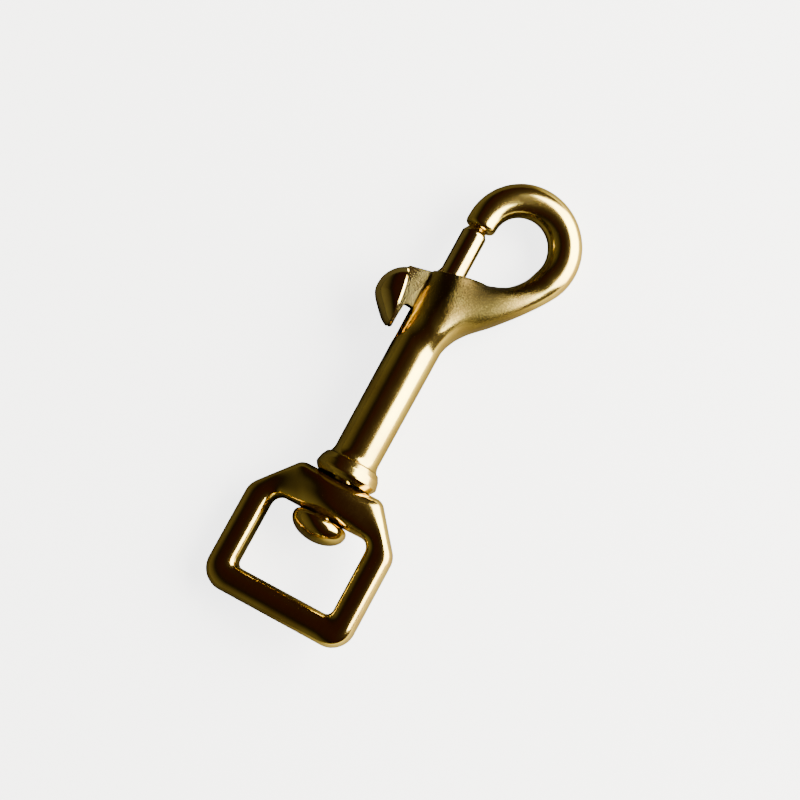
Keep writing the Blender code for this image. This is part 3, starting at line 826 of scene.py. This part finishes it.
def spring_grid(around=10, per_turn=40):
    """A wire round a helix: centre (R cos, y, R sin) plus a small circle across the wire's own direction."""
    t = np.linspace(0, 2 * np.pi * SPRING_TURNS, SPRING_TURNS * per_turn)
    start, finish = BORE_FLOOR + GAP + WIRE_R, TAIL_Y - GAP - WIRE_R
    turns = t / (2 * np.pi)
    pitch_share = np.interp(turns, [0, 1, SPRING_TURNS - 1, SPRING_TURNS], [0, 0, 1, 1])
    closed = 2 * WIRE_R * 1.05 * (np.minimum(turns, 1) + np.maximum(turns - SPRING_TURNS + 1, 0))
    y = start + closed + (finish - start - 4.2 * WIRE_R) * pitch_share
    line = np.stack([BOLT_X + SPRING_R * np.cos(t), y, SPRING_R * np.sin(t)], axis=1)
    way = np.gradient(line, axis=0)
    way /= np.linalg.norm(way, axis=1)[:, None]
    out = np.stack([np.cos(t), np.zeros_like(t), np.sin(t)], axis=1)
    side = np.cross(way, out)
    a = np.linspace(0, 2 * np.pi, around, endpoint=False)[None, :, None]
    return line[:, None] + WIRE_R * (out[:, None] * np.cos(a) + side[:, None] * np.sin(a))


spring = skin("spring_coil", spring_grid())
finished(spring, HOOK_ROLL, "hook", "bolt_spring", sharp=60.0)
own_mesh(spring)

# %% [markdown]
# ## Brass, as it is finished on each piece
#
# Polished brass is a mirror with a colour. What makes it look real is that it is never a perfect one: the
# surface has a faint orange-peel waviness from the casting, fine lines from the polishing wheel, and a warm
# brown bloom of tarnish in patches. Each is a noise pattern on Object coordinates: the waviness and the lines
# go into the bump, the patches into the colour and the roughness. Where the casting skin was left, the stored
# share brings in a coarse grain and more roughness, and it also darkens the colour almost to black, which is
# painted shade.

# %% Node helpers
def add(tree, kind, **settings):
    """A shader node with its settings; an input's value is given as in_NAME, with _ for a space."""
    made = tree.nodes.new(kind)
    for name, value in settings.items():
        if name.startswith("in_"):
            made.inputs[name[3:].replace("_", " ")].default_value = value
        else:
            setattr(made, name, value)
    return made


def noise(tree, coordinates, scale, detail=4.0, roughness=0.55):
    """A noise pattern of so many cells a metre."""
    made = add(tree, "ShaderNodeTexNoise", in_Scale=scale, in_Detail=detail, in_Roughness=roughness)
    tree.links.new(coordinates, made.inputs["Vector"])
    return made.outputs["Fac"]


def ranged(tree, value, from_low, from_high, low, high):
    """A value taken from one range to another."""
    made = add(tree, "ShaderNodeMapRange", in_From_Min=from_low, in_From_Max=from_high, in_To_Min=low,
               in_To_Max=high)
    tree.links.new(value, made.inputs["Value"])
    return made.outputs["Result"]


def maths(tree, operation, a, b):
    """a and b are each a socket or a number."""
    made = add(tree, "ShaderNodeMath", operation=operation)
    for socket, value in zip(made.inputs, (a, b)):
        if isinstance(value, (int, float)):
            socket.default_value = value
        else:
            tree.links.new(value, socket)
    return made.outputs[0]


def mixed(tree, share, a, b):
    """Colour a turning into colour b; each is a socket or three numbers."""
    made = add(tree, "ShaderNodeMix", data_type="RGBA")
    tree.links.new(share, made.inputs[0])
    for socket, value in zip((made.inputs[6], made.inputs[7]), (a, b)):
        if isinstance(value, tuple):
            socket.default_value = (*value, 1.0)
        else:
            tree.links.new(value, socket)
    return made.outputs[2]


def bumped(tree, height, distance, strength, below=None):
    """The surface tilted by the slope of a height, on top of a bump made before."""
    made = add(tree, "ShaderNodeBump", in_Distance=distance, in_Strength=strength)
    tree.links.new(height, made.inputs["Height"])
    if below is not None:
        tree.links.new(below, made.inputs["Normal"])
    return made.outputs["Normal"]


print("node helpers:", ", ".join(f.__name__ for f in (add, noise, ranged, maths, mixed, bumped)))

# %% [markdown]
# ## From gold to casting skin and painted shade
#
# The skin colour is nearly black, which is painted shade, and polished brass nearly white, so an even mix of
# the two looks polished almost all the way. Raising a small number to the power of the skin's share fades the
# gold by equal steps to the eye, which gives a soft brown edge round the painted dark patch.

# %% The brass recipe
# The nearly black skin colour below is painted shade on the neck, the web and the ring's inside.
CAST_SKIN_AND_SHADE = (0.006, 0.004, 0.001)
SKIN_AND_SHADE_SHARE = 0.012
FRECKLE = 0.45
CAST_ROUGHNESS = 0.09


def brass(name, colour, warm, polish, peel, lines, tarnish=0.5):
    """A brass finish: its colour, the brown of its tarnish, its roughness, and how deep peel and lines are."""
    finish = bpy.data.materials.new(name)
    finish.use_nodes = True
    tree = finish.node_tree
    shader = tree.nodes["Principled BSDF"]
    shader.inputs["Metallic"].default_value = 1.0
    place = add(tree, "ShaderNodeTexCoord").outputs["Object"]
    along = add(tree, "ShaderNodeMapping", in_Scale=(1.0, 0.06, 1.0))
    tree.links.new(place, along.inputs["Vector"])
    patches = noise(tree, place, 110.0, 5.0)
    speckle = noise(tree, place, 1700.0, 3.0)
    wheel = noise(tree, along.outputs["Vector"], 5200.0, 3.0)
    cast = add(tree, "ShaderNodeAttribute", attribute_name="as_cast").outputs["Fac"]
    grain = noise(tree, place, 2600.0, 5.0, 0.65)

    bloom = ranged(tree, patches, 0.42, 0.72, 0.0, tarnish)
    freckles = maths(tree, "MULTIPLY", ranged(tree, speckle, 0.52, 0.75, 0.0, 0.5), bloom)
    tone = mixed(tree, bloom, colour, warm)
    tone = mixed(tree, freckles, tone, tuple(FRECKLE * c for c in warm))
    # The skin share darkens the colour nearly to black here: painted shade, with the grain breaking it up.
    depth = maths(tree, "MULTIPLY", ranged(tree, grain, 0.42, 0.62, 1.0, 0.76), cast)
    tone = mixed(tree, maths(tree, "POWER", SKIN_AND_SHADE_SHARE, depth), CAST_SKIN_AND_SHADE, tone)
    tree.links.new(tone, shader.inputs["Base Color"])

    base = ranged(tree, patches, 0.3, 0.75, polish, polish + 0.05)
    streaks = ranged(tree, wheel, 0.35, 0.7, 0.0, 0.03)
    rough = maths(tree, "ADD", maths(tree, "ADD", base, streaks), maths(tree, "MULTIPLY", cast, CAST_ROUGHNESS))
    tree.links.new(rough, shader.inputs["Roughness"])

    normal = bumped(tree, noise(tree, place, 420.0, 2.0), 0.00006, peel)
    normal = bumped(tree, wheel, 0.00001, lines, normal)
    skin_height = maths(tree, "MULTIPLY", grain, cast)
    normal = bumped(tree, skin_height, 0.0002, 1.0, normal)
    tree.links.new(normal, shader.inputs["Normal"])
    return finish


print("cast skin keeps", CAST_SKIN_AND_SHADE, "of the light, polished brass most of it")

# %% Put the finishes on the pieces
GOLD = (0.82, 0.64, 0.17)
PALE_GOLD = (0.84, 0.69, 0.25)
BROWN = (0.50, 0.25, 0.06)


def wear(made, finish):
    """Gives a piece one finish all over."""
    made.data.materials.clear()
    made.data.materials.append(finish)


wear(hook, brass("cast_brass_finish", GOLD, BROWN, 0.13, 0.15, 0.4))
wear(eye, brass("eye_brass_finish", GOLD, BROWN, 0.11, 0.15, 0.2))
wear(bolt, brass("polished_brass_finish", PALE_GOLD, BROWN, 0.09, 0.2, 0.3))
wear(stud, brass("turned_brass_finish", GOLD, BROWN, 0.10, 0.2, 0.2))
print("brass finishes on", ", ".join(made.name for made in (hook, eye, bolt, stud)))

# %% [markdown]
# ## Spring wire
#
# Hard-drawn wire is bright steel with fine lines along it and a trace of oil. Noise stretched over the coil
# varies its roughness, and a faint blue-brown patch stands for the heat it was set with.

# %% The wire's finish
def wire_finish():
    """Steel with patches of heat colour, and noise in its roughness and bump."""
    finish = bpy.data.materials.new("spring_wire_finish")
    finish.use_nodes = True
    tree = finish.node_tree
    shader = tree.nodes["Principled BSDF"]
    shader.inputs["Metallic"].default_value = 1.0
    place = add(tree, "ShaderNodeTexCoord").outputs["Object"]
    heat = ranged(tree, noise(tree, place, 300.0), 0.4, 0.7, 0.0, 0.6)
    tree.links.new(mixed(tree, heat, (0.60, 0.60, 0.62), (0.42, 0.37, 0.33)), shader.inputs["Base Color"])
    drawn = noise(tree, place, 4000.0, 3.0)
    tree.links.new(ranged(tree, drawn, 0.3, 0.7, 0.24, 0.42), shader.inputs["Roughness"])
    tree.links.new(bumped(tree, drawn, 0.00001, 0.4), shader.inputs["Normal"])
    return finish


wear(spring, wire_finish())
print("finishes:", sorted(m.name for m in bpy.data.materials if m.users))

# %% [markdown]
# ## The floor
#
# A product stands out best on a plain pale surface with no edge in sight, so the floor is one wide sheet.

# %% A pale floor
FLOOR_HALF = 3.0


def floor_sheet():
    """A flat sheet at the height that the snap lies on."""
    side = np.linspace(-FLOOR_HALF, FLOOR_HALF, 3)
    x, y = np.meshgrid(side, side)
    points = np.stack([x, y, np.zeros_like(x)], axis=-1).reshape(-1, 3)
    index = np.arange(9).reshape(3, 3)
    quads = np.stack([index[:-1, :-1], index[:-1, 1:], index[1:, 1:], index[1:, :-1]], axis=-1).reshape(-1, 4)
    mesh = bpy.data.meshes.new("floor")
    mesh.from_pydata(points.tolist(), [], quads.tolist())
    made = bpy.data.objects.new("floor", mesh)
    bpy.context.scene.collection.objects.link(made)
    return made


floor = floor_sheet()
print("the floor is", 2 * FLOOR_HALF, "m square")

# %% [markdown]
# ## White paper that doesn't wash out the metal
#
# A bright white table would show in every edge of the brass and turn it pale. So the paper is white only to the
# camera. The metal sees a darker table, with painted shadow on the far side and painted window light that grows
# towards the window side, and that puts a cream line on the right edges and leaves the left ones dark.

# %% The paper's finish
# A painted shadow colour and a painted window-light colour, blended across X, on the table that only the metal
# sees.
TABLE_PAINTED_SHADOW, TABLE_PAINTED_LIGHT = (0.05, 0.045, 0.03), (0.80, 0.72, 0.46)
TABLE_FROM, TABLE_TO = -0.005, 0.06
paper = bpy.data.materials.new("pale_paper")
paper.use_nodes = True
wear(floor, paper)


def paper_shader(tree):
    """White paper to the eye; the metal sees a darker table in its place, with painted shadow and painted window
    light across it, so that its edges don't wash out.
    """
    shader = tree.nodes["Principled BSDF"]
    shader.inputs["Base Color"].default_value = (0.86, 0.86, 0.86, 1.0)
    shader.inputs["Roughness"].default_value = 0.9
    shader.inputs["Emission Color"].default_value = (1.0, 1.0, 1.0, 1.0)
    shader.inputs["Emission Strength"].default_value = 3.6
    table = add(tree, "ShaderNodeBsdfDiffuse")
    place = add(tree, "ShaderNodeTexCoord").outputs["Object"]
    across = add(tree, "ShaderNodeSeparateXYZ")
    tree.links.new(place, across.inputs[0])
    painted_light_share = ranged(tree, across.outputs["X"], TABLE_FROM, TABLE_TO, 0.0, 1.0)
    tree.links.new(mixed(tree, painted_light_share, TABLE_PAINTED_SHADOW, TABLE_PAINTED_LIGHT), table.inputs["Color"])
    seen = add(tree, "ShaderNodeLightPath").outputs["Is Camera Ray"]
    both = add(tree, "ShaderNodeMixShader")
    tree.links.new(seen, both.inputs[0])
    tree.links.new(table.outputs[0], both.inputs[1])
    tree.links.new(shader.outputs[0], both.inputs[2])
    tree.links.new(both.outputs[0], tree.nodes["Material Output"].inputs["Surface"])


paper_shader(paper.node_tree)
print("the paper has", len(paper.node_tree.nodes), "nodes")

# %% [markdown]
# ## Light for a polished metal
#
# A mirror shows the room, so lighting brass means building what it reflects. A broad soft light on the right
# gives the white band along the barrel, the dark warm room above gives the brown bands, and its dim far side
# gives the olive left edges.

# %% The window
WINDOW_WAY = (0.745, 0.484, 0.46)


def soft_light(name, place, aim, size, power, colour=(1.0, 1.0, 1.0)):
    """A rectangular area light at a place, turned towards the aim."""
    data = bpy.data.lights.new(name, "AREA")
    data.shape = "RECTANGLE"
    data.size, data.size_y = size
    data.energy = power
    data.color = colour
    made = bpy.data.objects.new(name, data)
    bpy.context.scene.collection.objects.link(made)
    made.location = place
    way = np.array(aim, float) - np.array(place, float)
    made.rotation_euler = Vector(way).to_track_quat("-Z", "Y").to_euler()
    return made


light = soft_light("right_window", WINDOW_WAY, (0, 0, 0), (1.25, 1.12), 70.0, (1.0, 0.98, 0.88))
print("the window is", round(float(np.linalg.norm(light.location)), 2), "m away")


# %% The room
def room(window):
    """The room as a colour for each direction: its cosine to the window goes through a ramp, dark to bright."""
    world = bpy.data.worlds.new("room")
    bpy.context.scene.world = world
    world.use_nodes = True
    tree = world.node_tree
    direction = add(tree, "ShaderNodeTexCoord").outputs["Generated"]
    facing = add(tree, "ShaderNodeVectorMath", operation="DOT_PRODUCT")
    facing.inputs[1].default_value = window
    tree.links.new(direction, facing.inputs[0])
    ramp = add(tree, "ShaderNodeValToRGB")
    stops = [(0.0, (0.20, 0.18, 0.10)), (0.28, (0.09, 0.075, 0.04)), (0.42, (0.010, 0.006, 0.004)),
             (0.56, (0.030, 0.006, 0.004)), (0.72, (0.026, 0.009, 0.005)), (0.88, (0.035, 0.015, 0.008)),
             (0.93, (0.30, 0.15, 0.05)), (0.965, (3.0, 2.6, 1.7))]
    ramp.color_ramp.elements.remove(ramp.color_ramp.elements[1])
    for k, (place, colour) in enumerate(stops):
        stop = ramp.color_ramp.elements[0] if k == 0 else ramp.color_ramp.elements.new(place)
        stop.position = place
        stop.color = (*colour, 1.0)
    half_turn = ranged(tree, facing.outputs["Value"], -1.0, 1.0, 0.0, 1.0)
    tree.links.new(half_turn, ramp.inputs["Fac"])
    tree.links.new(ramp.outputs["Color"], tree.nodes["Background"].inputs["Color"])
    print("the room's ramp has", len(ramp.color_ramp.elements), "stops")


room(WINDOW_WAY)

# %% [markdown]
# ## The camera
#
# The camera looks almost straight down, leaning eight degrees towards the eye's end, and is turned about its
# own line of sight so that the barrel slants across the picture.

# %% The camera
LEAN = math.radians(8.0)
SLANT = math.radians(28.6)
DISTANCE = 0.406
FIELD = math.radians(26.0)
AIM = np.array([-0.0005, -0.0016, AXIS[2]])


def camera():
    """Right, up and back of the camera: it leans about X, then turns about its own line of sight."""
    forward = np.array([0.0, math.sin(LEAN), -math.cos(LEAN)])
    up = np.array([0.0, math.cos(LEAN), math.sin(LEAN)])
    side = np.array([1.0, 0.0, 0.0])
    right = side * math.cos(SLANT) + up * math.sin(SLANT)
    top = up * math.cos(SLANT) - side * math.sin(SLANT)
    data = bpy.data.cameras.new("camera")
    data.sensor_width = 36.0
    data.lens = data.sensor_width / 2 / math.tan(FIELD / 2)
    data.clip_start = 0.01
    made = bpy.data.objects.new("camera", data)
    bpy.context.scene.collection.objects.link(made)
    place = AIM - forward * DISTANCE
    rows = [[right[k], top[k], -forward[k], place[k]] for k in range(3)]
    made.matrix_world = Matrix(rows + [[0, 0, 0, 1]])
    bpy.context.scene.camera = made
    print("the camera is", DISTANCE, "m away, with a", round(data.lens, 1), "mm lens")


camera()
